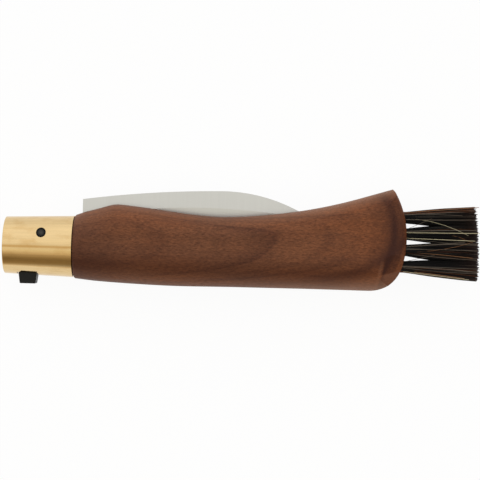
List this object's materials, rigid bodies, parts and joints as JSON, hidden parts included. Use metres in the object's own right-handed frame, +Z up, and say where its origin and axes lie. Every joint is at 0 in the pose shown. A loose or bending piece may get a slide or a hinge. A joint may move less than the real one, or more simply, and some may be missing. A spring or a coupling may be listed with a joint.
{
  "type": "folding mushroom knife with brush",
  "caption": "Closed folding mushroom knife: hooked blade in a carved walnut handle, brass ferrule with a turning lock ring and thumb button, and a boar-bristle brush in the butt.",
  "frame": {"origin": "the middle of the closed knife's underside, lying on its side", "axes": "+X along the knife from the ferrule to the brush tips, +Y from the thumb button's side to the blade's spine, +Z up from the side that it lies on"},
  "size_m": [0.1506, 0.033, 0.0208],
  "materials": {
    "walnut": "sanded and oiled walnut, satin",
    "brass": "spun and polished brass",
    "blade_steel": "satin-ground stainless steel",
    "plain_steel": "plain spring and wire steel",
    "black_steel": "black-oxidised steel",
    "black_plastic": "moulded black plastic",
    "bristle": "natural boar bristle, black and brown with pale hairs"
  },
  "bodies": {
    "handle_body": {"handle": "walnut", "ferrule": "brass", "pivot_pin": "black_steel", "pivot_washer_upper": "brass", "pivot_washer_lower": "brass", "tuft_anchors": "plain_steel", "tuft_row1_column1": "bristle", "tuft_row1_column2": "bristle", "tuft_row1_column3": "bristle", "tuft_row2_column1": "bristle", "tuft_row2_column2": "bristle", "tuft_row2_column3": "bristle", "tuft_row3_column1": "bristle", "tuft_row3_column2": "bristle", "tuft_row3_column3": "bristle", "tuft_row4_column1": "bristle", "tuft_row4_column2": "bristle", "tuft_row4_column3": "bristle"},
    "blade_body": {"blade": "blade_steel"},
    "lock_body": {"lock_ring": "plain_steel", "lock_button": "black_plastic", "button_screw": "plain_steel"}
  },
  "joints": [
    {"name": "blade_pivot", "type": "hinge", "parent": "handle_body", "child": "blade_body", "pos_m": [-0.06317, -0.00018, 0.0104], "axis": [0, 0, 1], "range_deg": [0, 180]},
    {"name": "lock_turn", "type": "hinge", "parent": "handle_body", "child": "lock_body", "pos_m": [-0.06917, -0.00439, 0.0104], "axis": [1, 0, 0], "range_deg": [0, 24]}
  ]
}
